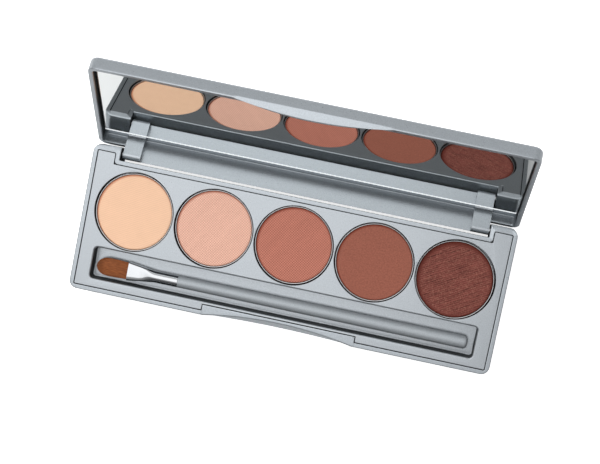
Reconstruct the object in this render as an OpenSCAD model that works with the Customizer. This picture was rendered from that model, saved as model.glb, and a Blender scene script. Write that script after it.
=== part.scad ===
// Five-pan eyeshadow palette: a shallow case with a hinged mirror lid, an insert plate
// that carries the pans, and a flat brush in its own slot. Millimetres, +Z up, +Y to the hinge.
// The origin is the centre of the face that the case stands on.

/* [Case] */
// Width of the case, left to right
case_w = 142; // [128:0.5:156]
// Depth of the case, front to hinge
case_d = 49; // [44:0.5:54]
// Height of the base, from its resting face to its rim
base_h = 10.5; // [9.5:0.1:13]
// Radius of the case's upright corners
corner_r = 2.8; // [2.4:0.1:3.4]
// Radius on the outer edge of the base's rim
rim_round = 0.3; // [0.2:0.05:0.9]
// Radius on the bottom edge of the base
foot_round = 0.8; // [0.4:0.05:1]
// How far the base's side walls lean in from rim to foot
wall_draft = 0.8; // [0.75:0.05:1.1]
// Height of the upright band below the rim, above the leaning part
rim_band = 2; // [1.5:0.1:2.4]
// Width of the base's rim beside the insert plate
rim_w = 1.4; // [1.3:0.05:1.6]
// Width of the rim behind the plate's two ears
ear_rim_w = 1.9; // [1.6:0.05:2.2]
// Thickness of the base's floor
floor_t = 1.4; // [1:0.1:1.8]
// Width of the ledge that the insert plate rests on
ledge_w = 0.9; // [0.6:0.05:1]

/* [Hinge] */
// Width of each ear of the base beside the lid's tongue
ear_w = 9.15; // [8.6:0.05:10]
// Depth of the gap between the ears from the back face
notch_d = 4.15; // [3.9:0.05:4.2]
// How far the gap's wall leans in from rim to foot
notch_lean = 1.3; // [1.1:0.05:1.4]
// Distance of the hinge axis in from the back face
axis_in = 2.3; // [2.25:0.01:2.35]
// Distance of the hinge axis below the rim
axis_down = 3.6; // [3.55:0.01:3.7]
// Radius of the barrel round each hinge pin
barrel_r = 1.6; // [1.4:0.05:1.65]
// Diameter of the hinge pins
pin_d = 1.5; // [1.2:0.05:1.6]
// Depth of each pin's seat in the base
pin_seat = 5; // [3.5:0.1:6]
// Gap left at the bottom of that seat
pin_end_gap = 0.2; // [0.1:0.05:0.5]
// Width of the two knuckles that turn on the pins
knuckle_w = 5.9; // [5:0.1:7]
// Gap between each knuckle and the base beside it
knuckle_gap = 0.4; // [0.3:0.05:0.6]
// Radial clearance of a pin in its knuckle
pin_run = 0.05; // [0.02:0.01:0.08]
// Radial clearance of a pin in its seat
pin_press = 0.01; // [0.01:0.01:0.02]
// Gap between the base's back edge and the lid's rim as the lid turns
turn_gap = 0.1; // [0.08:0.01:0.2]
// Angle that the lid opens to
open_deg = 121.7; // [110:0.1:122]

/* [Lid] */
// Height of the lid, from the base's rim to its outer face
lid_h = 4.9; // [4.8:0.1:5.2]
// Thickness of the lid's outer panel
lid_top = 1.35; // [1.2:0.05:1.5]
// Thickness of the lid's side walls
lid_wall = 1.5; // [1.3:0.05:1.6]
// Radius on the lid's outer edge
lid_round = 1.3; // [1:0.05:1.6]
// Radius on the lid's rim
lid_rim_round = 0.25; // [0.1:0.05:0.4]
// Shut line between the lid's rim and the base's rim
shut_gap = 0.15; // [0.1:0.01:0.25]
// Radius inside the lid where its back wall meets the panel
lid_cove = 0.4; // [0.3:0.1:2.4]
// Thickness of the mirror glass
mirror_t = 1.1; // [1:0.05:1.2]
// Gap between the mirror's hinge edge and the knuckles
mirror_back_gap = 2.65; // [2.5:0.05:4]
// Radius of the mirror's corners
mirror_r = 0.5; // [0.3:0.1:1]
// Gap between the mirror's edge and the lid's walls
mirror_gap = 0.45; // [0.3:0.05:0.8]
// Thickness of the adhesive film behind the mirror
tape_t = 0.15; // [0.1:0.05:0.2]
// How far the film stays inside the mirror's edge
tape_in = 1.5; // [0.5:0.1:3]

/* [Thumb catch] */
// Width of the scoop in the base's front and of the lid's tab
scoop_w = 50; // [44:0.5:52]
// Depth of the scoop at the middle of the rim
scoop_in = 2.3; // [2.2:0.05:2.4]
// Height of the scoop's upright wall
scoop_wall = 2.4; // [2.3:0.1:2.8]
// Height of the slope below that wall
scoop_slope = 3; // [2:0.1:4]
// How far the tab reaches below the rim
tab_drop = 1.9; // [1.4:0.1:2]
// Gap between the tab and the scoop's wall
tab_gap = 0.35; // [0.3:0.05:0.45]
// Lean of the tab's outer face from upright
tab_lean = 25; // [20:1:26]
// Height above the rim at which the tab's outer face starts
tab_rise = 0.7; // [0.5:0.05:0.9]
// Radius of the hollow in the tab's outer face
tab_hollow_r = 960; // [700:10:1500]
// How far the plate's step back reaches past each end of the scoop
step_side = 1; // [0.5:0.1:2]
// Depth of that step
step_in = 2; // [1.8:0.05:2]
// Length of the catch bead on the tab's inner face
bead_l = 16; // [10:0.5:20]
// Radius of the catch bead
bead_r = 0.2; // [0.15:0.01:0.25]
// Gap between the bead and the groove it springs into
bead_gap = 0.1; // [0.08:0.01:0.15]

/* [Insert plate] */
// Width of the seam all round the insert plate
seam = 0.3; // [0.2:0.05:0.35]
// How far the plate's face lies below the rim
plate_drop = 0.2; // [0.1:0.05:0.3]
// Thickness of the plate
plate_t = 1.4; // [1.2:0.05:1.6]
// Radius of the plate's corners
plate_r = 0.4; // [0.3:0.1:1.4]
// Thickness of the floors under the pans and the brush
tray_floor = 0.9; // [0.7:0.05:1]
// Thickness of the walls round each pan well
cup_wall = 0.6; // [0.5:0.05:0.7]
// Width of the plate left between two wells
web = 0.6; // [0.5:0.05:0.8]
// Width of the plate left beside the two end wells
end_web = 2.1; // [1.9:0.05:3]
// Width of the plate left behind the wells
back_web = 1; // [0.9:0.05:1.1]
// Chamfer on the edge of each well
well_chamfer = 0.2; // [0.1:0.05:0.25]

/* [Pans] */
// Height of a pan
pan_h = 3.8; // [3.4:0.1:4]
// Thickness of the pan's metal
pan_wall = 0.3; // [0.2:0.05:0.4]
// Gap between a pan and its well
pan_gap = 0.4; // [0.3:0.05:0.4]
// Depth of a pan's rim below the plate's face
pan_drop = 0.5; // [0.3:0.05:0.7]
// Depth of the powder's face below the pan's rim
powder_drop = 0.1; // [0.05:0.01:0.3]
// Width of the bevel round the powder's face
powder_bevel = 0.35; // [0.2:0.05:0.6]
// Gap between the powder and the pan's wall
powder_gap = 0.02; // [0.01:0.01:0.04]
// Diameter of the glue spot under each pan
glue_d = 16; // [10:0.5:20]
// Thickness of the glue spot
glue_t = 0.15; // [0.1:0.05:0.2]

/* [Brush] */
// Free length of the bristles
bristle_l = 10.8; // [9:0.1:11.4]
// Width of the bristles where they leave the ferrule
bristle_w = 5.7; // [5:0.1:5.9]
// Width of the bristles at their widest
belly_w = 6.3; // [5.9:0.1:6.6]
// Width of the bristles at the tip
tip_w = 2.5; // [2:0.1:3.5]
// Thickness of the bristles at the ferrule
bristle_t = 2.1; // [1.8:0.1:2.3]
// Thickness of the bristles at the tip
tip_t = 0.9; // [0.6:0.1:1.2]
// Length of the bristles inside the ferrule
root_l = 4; // [3:0.1:4.5]
// Length of the ferrule
ferrule_l = 17; // [15:0.1:18]
// Length of the ferrule's flat end
crimp_l = 4.7; // [4.5:0.1:5.5]
// Length of the ferrule's taper from flat to round
taper_l = 4.5; // [3.5:0.1:5.5]
// Diameter of the ferrule's round end
ferrule_d = 3.9; // [3.7:0.05:4.1]
// Width of the ferrule where its flat end meets the taper
waist_w = 4.9; // [4.6:0.1:5.2]
// Thickness of the ferrule's metal
ferrule_wall = 0.25; // [0.2:0.01:0.3]
// Diameter of the handle at the ferrule
handle_d1 = 3.85; // [3.6:0.05:4]
// Diameter of the handle at its end
handle_d2 = 4.3; // [4:0.05:4.4]
// Radius on the handle's end
handle_round = 1.3; // [0.8:0.1:1.8]
// Length of the handle's tenon in the ferrule
tenon_l = 6; // [4:0.1:7]
// Clearance of a piece inside the ferrule
ferrule_fit = 0.03; // [0.02:0.01:0.05]
// Space in front of the bristles' tip
tip_space = 1.15; // [1:0.05:1.5]
// Space behind the handle's end
end_space = 2.35; // [2:0.05:2.6]
// Width of the brush slot
slot_w = 10.5; // [9.6:0.05:10.6]
// Depth of the brush slot
slot_depth = 5.2; // [4.8:0.05:5.4]
// Width of the plate left beside each end of the slot
slot_end_web = 4.65; // [4.4:0.05:6]
// Width of the plate left in front of the slot
slot_front_web = 0.8; // [0.7:0.05:1]
// Radius of the slot's corners
slot_r = 1.2; // [0.6:0.1:1.6]
// Thickness of the slot's walls
slot_wall = 0.8; // [0.6:0.05:0.8]
// Width of the plate left between the wells and the slot
slot_web = 0.75; // [0.7:0.05:0.8]
// Distance of the brush's axis ahead of the slot's middle
brush_ahead = 0.95; // [0.5:0.05:1.1]
// Gap under the brush's handle
brush_lift = 0.08; // [0.05:0.01:0.2]
// Number of ribs under the slot
rib_count = 4; // [2:1:6]
// Thickness of those ribs
rib_t = 1.2; // [0.8:0.1:1.6]

/* [Hidden] */
pan_count = 5;
$fn = 96;
eps = 0.01;
silver = "#c3c8cd";
back_y = case_d / 2;
front_y = -case_d / 2;
side_x = case_w / 2;
axis_y = back_y - axis_in;
axis_z = base_h - axis_down;
notch_w = case_w - 2 * ear_w;
notch_y = back_y - notch_d;
plate_z = base_h - plate_drop;
seat_z = plate_z - plate_t;
plate_x = side_x - rim_w - seam;
plate_front_y = front_y + rim_w + seam;
step_y = plate_front_y + step_in;
plate_back_y = notch_y - rim_w - seam;
ear_in_x = notch_w / 2 + rim_w + seam;
ear_back_y = back_y - ear_rim_w - seam;
slot_l = 2 * (plate_x - slot_end_web);
slot_y = step_y + slot_front_web + slot_w / 2;
slot_back_y = slot_y + slot_w / 2;
slot_z = plate_z - slot_depth;
pitch = (2 * (plate_x - end_web) + web) / pan_count;
row_room = plate_back_y - back_web - slot_back_y - slot_web;
well_r = min(pitch - web, row_room) / 2;
row_y = plate_back_y - back_web - well_r;
pan_d = 2 * (well_r - pan_gap);
pan_z = plate_z - pan_drop - pan_h;
well_z = pan_z - glue_t;
handle_l = slot_l - tip_space - end_space - bristle_l - ferrule_l;
brush_x = -slot_l / 2 + tip_space;
brush_y = slot_y - brush_ahead;
brush_z = slot_z + brush_lift + handle_d2 / 2;
scoop_r = (scoop_w * scoop_w / 4 + scoop_in * scoop_in) / (2 * scoop_in);
scoop_y = front_y + scoop_in - scoop_r;
tongue_x = notch_w / 2 - knuckle_gap;
barrel_sink = 0.02;
nose_z = axis_z + (axis_in - (barrel_r - barrel_sink)) / sin(open_deg);
mirror_z = base_h + lid_h - lid_top - tape_t - mirror_t;
mirror_front_y = front_y + lid_wall + mirror_gap;
mirror_back_y = axis_y - barrel_r - mirror_back_gap;
step_w = scoop_w + 2 * step_side;
powder_colors = ["#f1c7a8", "#e3b39f", "#b37567", "#956153", "#7a4d44"];

// Half section of a wall's outer edge: x is the reach from a corner's centre, y is the height
module edge_profile(h, reach, top_r, foot_r, lean, band) {
    polygon([[0, 0], [reach - lean - foot_r, 0], [reach - lean, foot_r], [reach, h - band],
        [reach, h - top_r], [reach - top_r, h], [0, h]]);
    translate([reach - top_r, h - top_r]) circle(top_r);
    translate([reach - lean - foot_r, foot_r]) circle(foot_r);
}

// Whole section across a case of depth d
module case_section(d, h, top_r, foot_r, lean, band) {
    core = d / 2 - corner_r;
    translate([-core, 0]) square([2 * core, h]);
    for (side = [0, 1])
        mirror([side, 0]) translate([core, 0]) edge_profile(h, corner_r, top_r, foot_r, lean, band);
}

// Block with upright corners of corner_r and rounded long edges
module case_block(h, top_r, foot_r, lean, band) {
    rotate([90, 0, 90]) linear_extrude(case_w - 2 * corner_r, center = true)
        case_section(case_d, h, top_r, foot_r, lean, band);
    rotate([90, 0, 0]) linear_extrude(case_d - 2 * corner_r, center = true)
        case_section(case_w, h, top_r, foot_r, lean, band);
    for (sx = [-1, 1], sy = [-1, 1])
        translate([sx * (side_x - corner_r), sy * (back_y - corner_r), 0])
            rotate_extrude() edge_profile(h, corner_r, top_r, foot_r, lean, band);
}

// Rectangle from corner a to corner b with round corners
module round_rect(a, b, r) {
    translate([a[0] + r, a[1]]) square([b[0] - a[0] - 2 * r, b[1] - a[1]]);
    translate([a[0], a[1] + r]) square([b[0] - a[0], b[1] - a[1] - 2 * r]);
    for (x = [a[0] + r, b[0] - r], y = [a[1] + r, b[1] - r]) translate([x, y]) circle(r);
}

// Outline of the insert plate grown by g: a bar with two ears at the back and a step at the front
module plate_outline(g, r) {
    difference() {
        union() {
            round_rect([-plate_x - g, plate_front_y - g], [plate_x + g, plate_back_y + g], r);
            for (s = [0, 1])
                mirror([s, 0]) round_rect([ear_in_x - g, 0], [plate_x + g, ear_back_y + g], r);
        }
        translate([-step_w / 2 + g, plate_front_y - 2 * g]) square([step_w - 2 * g, step_in + g]);
    }
}

// Gap in the base's back: its wall leans in towards the foot
module notch() {
    rotate([90, 0, 90]) linear_extrude(notch_w, center = true)
        polygon([[notch_y - notch_lean, -1], [notch_y - notch_lean, 0], [notch_y, base_h],
            [notch_y, base_h + 1], [back_y + 1, base_h + 1], [back_y + 1, -1]]);
}

// Cuts the base's back edge to a round about the hinge axis, which the lid's rim turns past
module back_round() {
    x = side_x + 1;
    difference() {
        translate([-x, axis_y, axis_z]) cube([2 * x, case_d, case_d]);
        axis_bar(-x, x, axis_down + shut_gap - turn_gap);
    }
}

// Hollow under the insert plate: it leaves a ledge under the plate's ends and front corners, and
// a wall behind the thumb scoop that stops short of the brush slot
module base_hollow() {
    ledge_x = plate_x - ledge_w;
    wall_x = step_w / 2 + ledge_w;
    wall_y = plate_back_y - notch_lean * (base_h - well_z) / base_h + seam;
    translate([0, 0, floor_t]) linear_extrude(base_h) difference() {
        round_rect([-ledge_x, plate_front_y + ledge_w], [ledge_x, min(wall_y, plate_back_y)], plate_r);
        translate([-wall_x, plate_front_y]) square([2 * wall_x, step_in - seam / 2]);
    }
}

// Thumb scoop in the base's front: an upright wall above a slope that runs out at the front face
module scoop() {
    translate([0, scoop_y, base_h - scoop_wall]) cylinder(r = scoop_r, h = scoop_wall + 1, $fn = 360);
    translate([0, scoop_y, base_h - scoop_wall - scoop_slope])
        cylinder(r1 = scoop_r - scoop_in, r2 = scoop_r, h = scoop_slope, $fn = 360);
}

// Round bead that follows the scoop's curve at radius ring_r, half way down the tab
module catch_ring(ring_r, r, len) {
    intersection() {
        translate([0, scoop_y, base_h - tab_drop / 2]) rotate_extrude($fn = 360)
            translate([ring_r, 0]) circle(r, $fn = 48);
        translate([-len / 2, front_y, 0]) cube([len, case_d, base_h]);
    }
}

module slot_ribs() {
    rib_top = slot_z - tray_floor;
    for (i = [0:rib_count - 1])
        translate([slot_l * ((i + 0.5) / rib_count - 0.5) - rib_t / 2, slot_y - slot_w / 2, floor_t - eps])
            cube([rib_t, slot_w, rib_top - floor_t + eps]);
}

// Bar along the hinge axis from x0 to x1
module axis_bar(x0, x1, r) {
    translate([x0, axis_y, axis_z]) rotate([0, 90, 0]) cylinder(r = r, h = x1 - x0);
}

module base_shell() color(silver) {
    difference() {
        case_block(base_h, rim_round, foot_round, wall_draft, rim_band);
        translate([0, 0, seat_z]) linear_extrude(base_h) plate_outline(seam, plate_r + seam);
        base_hollow();
        notch();
        back_round();
        scoop();
        for (s = [0, 1])
            mirror([s, 0]) axis_bar(notch_w / 2 - 1, notch_w / 2 + pin_seat, pin_d / 2 + pin_press);
        catch_ring(scoop_r, bead_r + bead_gap, bead_l + 2 * bead_gap);
    }
    slot_ribs();
}

module well_places() {
    for (i = [0:pan_count - 1]) translate([(i - (pan_count - 1) / 2) * pitch, row_y, 0]) children();
}

module slot_shape(g) {
    round_rect([-slot_l / 2 - g, slot_y - slot_w / 2 - g], [slot_l / 2 + g, slot_back_y + g], slot_r + g);
}

module insert_plate() color(silver) {
    difference() {
        union() {
            translate([0, 0, seat_z]) linear_extrude(plate_t) plate_outline(0, plate_r);
            well_places() translate([0, 0, well_z - tray_floor])
                cylinder(r = well_r + cup_wall, h = seat_z + eps - well_z + tray_floor);
            translate([0, 0, slot_z - tray_floor])
                linear_extrude(seat_z + eps - slot_z + tray_floor) slot_shape(slot_wall);
        }
        well_places() {
            translate([0, 0, well_z]) cylinder(r = well_r, h = base_h);
            translate([0, 0, plate_z - well_chamfer])
                cylinder(r1 = well_r, r2 = well_r + 2 * well_chamfer, h = 2 * well_chamfer);
        }
        translate([0, 0, slot_z]) linear_extrude(base_h) slot_shape(0);
    }
}

module pan_place(n) {
    translate([(n - (pan_count + 1) / 2) * pitch, row_y, pan_z]) children();
}

module pan(n) color("#d9dadb") pan_place(n) {
    difference() {
        cylinder(d = pan_d, h = pan_h);
        translate([0, 0, pan_wall]) cylinder(d = pan_d - 2 * pan_wall, h = pan_h);
    }
}

// Pressed powder: a disc with a bevelled edge that fills its pan
module powder(n) color(powder_colors[n - 1]) pan_place(n) {
    r = pan_d / 2 - pan_wall - powder_gap;
    top = pan_h - powder_drop;
    rotate_extrude() polygon([[0, pan_wall], [r, pan_wall], [r, top - powder_bevel],
        [r - powder_bevel, top], [0, top]]);
}

module pan_glue() color("#e8e3d2") {
    well_places() translate([0, 0, well_z]) cylinder(d = glue_d, h = glue_t);
}

module hinge_pin(side) color("#b9bbbd") {
    inner_x = tongue_x - knuckle_w;
    outer_x = notch_w / 2 + pin_seat - pin_end_gap;
    mirror([side, 0, 0]) axis_bar(inner_x, outer_x, pin_d / 2);
}

// Turns what is drawn with the lid shut to where it is with the lid open
module opened() {
    translate([0, axis_y, axis_z]) rotate([-open_deg, 0, 0]) translate([0, -axis_y, -axis_z])
        children();
}

// Section of the lid's tongue: its outer face is flush with the back, its end is a round nose
module tongue_section() {
    top_z = base_h + lid_h - lid_top + eps;
    translate([axis_y, nose_z]) square([axis_in, top_z - nose_z]);
    intersection() {
        translate([axis_y, nose_z]) circle(axis_in);
        translate([axis_y, nose_z - axis_in]) square([axis_in, axis_in + eps]);
    }
}

// Thin sheet between the knuckles
module tongue_sheet() {
    inner_x = tongue_x - knuckle_w;
    rotate([90, 0, 90]) linear_extrude(2 * inner_x + eps, center = true) intersection() {
        tongue_section();
        translate([back_y - lid_wall, 0]) square([lid_wall, base_h + lid_h]);
    }
}

module knuckles() {
    top_z = base_h + lid_h - lid_top + eps;
    for (s = [0, 1]) mirror([s, 0, 0]) translate([tongue_x - knuckle_w, 0, 0])
        rotate([90, 0, 90]) linear_extrude(knuckle_w) {
            tongue_section();
            translate([axis_y, axis_z]) circle(barrel_r);
            translate([axis_y - barrel_r, axis_z]) square([barrel_r + eps, top_z - axis_z]);
        }
}

// Room inside the lid: a shallow box with a cove along its back
module lid_hollow() {
    rim_z = base_h - 1;
    ceil_z = base_h + lid_h - lid_top;
    y0 = front_y + lid_wall;
    y1 = back_y - lid_wall;
    x1 = side_x - lid_wall;
    intersection() {
        rotate([90, 0, 90]) linear_extrude(2 * x1, center = true) {
            translate([y0, rim_z]) square([y1 - lid_cove - y0, ceil_z - rim_z]);
            translate([y0, rim_z]) square([y1 - y0, ceil_z - lid_cove - rim_z]);
            translate([y1 - lid_cove, ceil_z - lid_cove]) circle(lid_cove);
        }
        linear_extrude(base_h + lid_h) round_rect([-x1, y0], [x1, y1], corner_r - lid_wall);
    }
}

// Lens-shaped tab that hangs into the thumb scoop
module thumb_tab() {
    drop_r = (scoop_w * scoop_w / 4 + tab_drop * tab_drop) / (2 * tab_drop);
    top_z = base_h + shut_gap + 1;
    intersection() {
        translate([0, scoop_y, 0]) cylinder(r = scoop_r - tab_gap, h = top_z, $fn = 360);
        translate([-scoop_w / 2, front_y, base_h - tab_drop])
            cube([scoop_w, scoop_in, tab_drop + shut_gap + 1]);
        translate([0, 0, base_h - tab_drop + drop_r]) rotate([90, 0, 0])
            cylinder(r = drop_r, h = 2 * case_d, center = true, $fn = 360);
    }
}

// Tool that hollows the tab's outer face
module tab_bevel() {
    translate([0, front_y, base_h + tab_rise]) rotate([tab_lean, 0, 0])
        translate([0, -tab_hollow_r, -4 * tab_drop])
            cylinder(r = tab_hollow_r, h = 8 * tab_drop, $fn = 720);
}

module lid_shell() color(silver) opened() {
    difference() {
        union() {
            difference() {
                translate([0, 0, base_h + shut_gap])
                    case_block(lid_h - shut_gap, lid_round, lid_rim_round, 0, lid_h / 2);
                lid_hollow();
            }
            thumb_tab();
            tongue_sheet();
            knuckles();
            catch_ring(scoop_r - tab_gap, bead_r, bead_l);
        }
        intersection() {
            tab_bevel();
            translate([-scoop_w / 2, front_y - 1, base_h - 2 * tab_drop])
                cube([scoop_w, scoop_in, 3 * tab_drop]);
        }
        for (s = [0, 1])
            mirror([s, 0]) axis_bar(tongue_x - knuckle_w - 1, tongue_x + 1, pin_d / 2 + pin_run);
    }
}

module mirror_rect(inset) {
    x = side_x - lid_wall - mirror_gap - inset;
    round_rect([-x, mirror_front_y + inset], [x, mirror_back_y - inset], mirror_r);
}

module lid_mirror() color("#dfe5ea") opened() {
    translate([0, 0, mirror_z]) linear_extrude(mirror_t) mirror_rect(0);
}

module mirror_tape() color("#6f7276") opened() {
    translate([0, 0, mirror_z + mirror_t]) linear_extrude(tape_t) mirror_rect(tape_in);
}

// Places what is drawn along +X from the bristles' tip
module brush_place() {
    translate([brush_x, brush_y, brush_z]) children();
}

module brush_handle() color(silver) brush_place() {
    x0 = bristle_l + ferrule_l;
    translate([x0, 0, 0]) rotate([0, 90, 0]) rotate_extrude() {
        polygon([[0, 0], [handle_d1 / 2, 0], [handle_d2 / 2, handle_l - handle_round],
            [handle_d2 / 2 - handle_round, handle_l], [0, handle_l]]);
        intersection() {
            translate([handle_d2 / 2 - handle_round, handle_l - handle_round]) circle(handle_round);
            translate([0, handle_l - 2 * handle_round]) square([handle_d2, 2 * handle_round]);
        }
    }
    translate([x0 - tenon_l, 0, 0]) rotate([0, 90, 0])
        cylinder(r = ferrule_d / 2 - ferrule_wall - ferrule_fit, h = tenon_l + eps);
}

// Thin oval slab across the brush, w wide and t thick
module oval_slab(x, w, t, len) {
    translate([x, 0, 0]) rotate([90, 0, 90]) linear_extrude(len) round_rect([-w / 2, -t / 2],
        [w / 2, t / 2], t / 2 - eps);
}

// Ferrule's form shrunk by s all round: flat at the bristles, round at the handle
module ferrule_form(s, extra) {
    flat_t = bristle_t + 2 * ferrule_wall + 2 * ferrule_fit;
    flat_w = bristle_w + 2 * ferrule_wall + 2 * ferrule_fit;
    x0 = bristle_l;
    x1 = x0 + crimp_l;
    x2 = x1 + taper_l;
    hull() {
        oval_slab(x0 - extra, flat_w - 2 * s, flat_t - 2 * s, eps, $fn = 32);
        oval_slab(x1, waist_w - 2 * s, flat_t - 2 * s, eps, $fn = 32);
    }
    hull() {
        oval_slab(x1, waist_w - 2 * s, flat_t - 2 * s, eps, $fn = 32);
        translate([x2, 0, 0]) rotate([0, 90, 0]) cylinder(r = ferrule_d / 2 - s, h = eps, $fn = 32);
    }
    translate([x2, 0, 0]) rotate([0, 90, 0])
        cylinder(r = ferrule_d / 2 - s, h = x0 + ferrule_l - x2 + extra);
}

module brush_ferrule() color("#e6e8ea") brush_place() {
    difference() {
        ferrule_form(0, 0);
        ferrule_form(ferrule_wall, eps);
    }
}

module brush_bristles() color("#89583a") brush_place() {
    root_w = min(bristle_w, waist_w - 2 * ferrule_wall) - 2 * ferrule_fit;
    // Each station is its place along the bristles, its share of belly_w and its share of bristle_t
    stations = [[0.37, 1, 0.85], [0.2, 0.89, 0.7], [0.07, 0.62, 0.55]];
    hull() {
        oval_slab(bristle_l - eps, bristle_w, bristle_t, eps, $fn = 32);
        for (s = stations) oval_slab(bristle_l * s[0], belly_w * s[1], bristle_t * s[2], eps, $fn = 32);
        oval_slab(0, tip_w, tip_t, eps, $fn = 32);
    }
    oval_slab(bristle_l - eps, root_w, bristle_t, root_l);
}

base_shell();
insert_plate();
pan(1);  // pan_1
pan(2);  // pan_2
pan(3);  // pan_3
pan(4);  // pan_4
pan(5);  // pan_5
powder(1);  // powder_1
powder(2);  // powder_2
powder(3);  // powder_3
powder(4);  // powder_4
powder(5);  // powder_5
pan_glue();
hinge_pin(1);  // hinge_pin_left
hinge_pin(0);  // hinge_pin_right
lid_shell();
lid_mirror();  // mirror
mirror_tape();
brush_handle();
brush_ferrule();
brush_bristles();
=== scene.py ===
import math
import random

import bmesh
import bpy
from mathutils import Matrix, Vector, noise
from mathutils.geometry import tessellate_polygon


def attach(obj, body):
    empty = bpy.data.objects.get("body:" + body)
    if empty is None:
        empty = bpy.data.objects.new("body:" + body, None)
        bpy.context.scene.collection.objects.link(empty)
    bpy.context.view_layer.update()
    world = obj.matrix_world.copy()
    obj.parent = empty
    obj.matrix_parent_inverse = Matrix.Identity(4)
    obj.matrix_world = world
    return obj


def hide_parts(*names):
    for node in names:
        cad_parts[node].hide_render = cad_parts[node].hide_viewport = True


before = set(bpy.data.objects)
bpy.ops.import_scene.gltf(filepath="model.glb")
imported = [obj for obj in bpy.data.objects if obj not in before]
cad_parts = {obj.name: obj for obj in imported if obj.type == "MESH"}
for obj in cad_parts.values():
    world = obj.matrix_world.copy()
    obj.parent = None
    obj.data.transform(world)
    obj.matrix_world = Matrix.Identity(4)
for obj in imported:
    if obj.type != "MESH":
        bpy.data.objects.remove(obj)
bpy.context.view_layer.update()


# ---- Base shell ----------------------------------------------------------------------------
# Moulded plastic tray with a satin silver lacquer. Its back is cut away for the lid's tongue, its
# front has the thumb scoop, and a pocket inside the rim takes the insert plate.
MM = 0.001  # the sizes of all pieces are in millimetres
HALF_W = 71.0
HALF_D = 24.5
BASE_H = 10.5
CORNER_R = 2.8
CORNER_STEPS = 10
RIM_ROUND = 0.3
FOOT_ROUND = 0.8
WALL_LEAN = 0.8
UPRIGHT_FROM = 8.5  # the outer walls lean in below this
NOTCH_X = 61.85  # the notch in the back takes the lid's tongue, between two ears
NOTCH_Y = 20.35
NOTCH_R = 0.3
NOTCH_LEAN = 1.3
NOTCH_ROUND = 0.35
NOTCH_SIDE_Y = 19.0
NOTCH_SHADE_Z = 10.1  # the notch's sides beside the tongue are painted in shade below this
SCOOP_HALF_W = 25.0
SCOOP_DEPTH = 2.3
SCOOP_FLOOR_Z = 5.1
SCOOP_START_Z = 5.506  # the scoop cuts into the leaning front from here up
SCOOP_WALL_Z = 8.1
SCOOP_ROUND = 0.45
SCOOP_STEPS = 48
SCOOP_R = (SCOOP_HALF_W ** 2 + SCOOP_DEPTH ** 2) / (2 * SCOOP_DEPTH)
SCOOP_Y = -HALF_D + SCOOP_DEPTH - SCOOP_R
FRONT_FROM_X = 26.0  # the straight front starts here beside the scoop
AXIS_Y = 22.2  # the hinge's axis
AXIS_Z = 6.9
BACK_ROUND = 3.65  # the round about the axis that the lid's edge turns past
SEAT_Z = 8.9  # the ledge that the insert plate lies on
FLOOR_Z = 1.4
SEAM_ROUND = 0.08
POCKET_X = 69.55
POCKET_FRONT = -23.05
POCKET_BACK = 22.55
POCKET_R = 0.45
POCKET_STEP_X = 25.75  # the pocket steps back behind the scoop
POCKET_STEP_Y = -21.05
POCKET_EAR_X = 63.3  # it reaches back beside the tongue
POCKET_EAR_Y = 18.9
POCKET_EAR_R = 0.85
HOLLOW_X = 68.4  # the space under the insert plate
HOLLOW_FRONT = -21.9
HOLLOW_BACK = 18.2
HOLLOW_R = 1.1
HOLLOW_STEP_X = 24.0
HOLLOW_STEP_Y = -20.9


def turn_steps(steps):
    """Angles from nothing to a quarter turn."""
    return [0.5 * math.pi * k / steps for k in range(steps + 1)]


def outline(corners):
    """Closed outline, anticlockwise, through corners (x, y, reach, steps).

    Each of its points comes with its way in. A corner of no steps stays sharp.
    """
    points = []
    for i, (x, y, reach, steps) in enumerate(corners):
        before, after = corners[i - 1], corners[(i + 1) % len(corners)]
        u = Vector((x - before[0], y - before[1])).normalized()
        v = Vector((after[0] - x, after[1] - y)).normalized()
        in_before, in_after = Vector((-u.y, u.x)), Vector((-v.y, v.x))
        corner = Vector((x, y))
        if steps == 0:
            points.append((corner, (in_before + in_after).normalized()))
            continue
        for a in turn_steps(steps):
            place = corner - u * reach * (1 - math.sin(a)) + v * reach * (1 - math.cos(a))
            way_in = in_before * math.cos(a) + in_after * math.sin(a)
            points.append((place, way_in.normalized()))
    return points


def straight(half, y, steps):
    """Sharp corners of an outline, evenly spread from -half to half at y."""
    return [(half * (2 * i / steps - 1), y, 0, 0) for i in range(steps + 1)]


def both_sides(middle, right):
    """Corners of an outline that is the same on both sides, middle from left to right first."""
    left = [(-x, y, reach, steps) for x, y, reach, steps in reversed(right)]
    return middle + right + left


def quarter(radius, short_of):
    """How far a quarter round has pulled in where it is short_of short of its end."""
    if short_of >= radius:
        return 0.0
    return radius - math.sqrt(radius ** 2 - (radius - short_of) ** 2)


def ring(points, z, inset=0.0):
    """An outline's points at height z, moved in by inset."""
    return [Vector((p.x + n.x * inset, p.y + n.y * inset, z)) for p, n in points]


def skin(bm, rings, start=False, end=False, second_strips=()):
    """Quads between rings of equal length, with faces on the first and the last ring if asked.

    The listed strips get the piece's second material: painted shade on the shells, the mirror's
    ground edge.
    """
    rows = [[bm.verts.new(p * MM) for p in r] for r in rings]
    for strip, (a, b) in enumerate(zip(rows, rows[1:])):
        for i in range(len(a)):
            j = (i + 1) % len(a)
            bm.faces.new((a[i], a[j], b[j], b[i])).material_index = int(strip in second_strips)
    if start:
        bm.faces.new(list(reversed(rows[0])))
    if end:
        bm.faces.new(rows[-1])


def looks_sideways(face):
    return abs(face.normal.x) > 0.8


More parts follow.
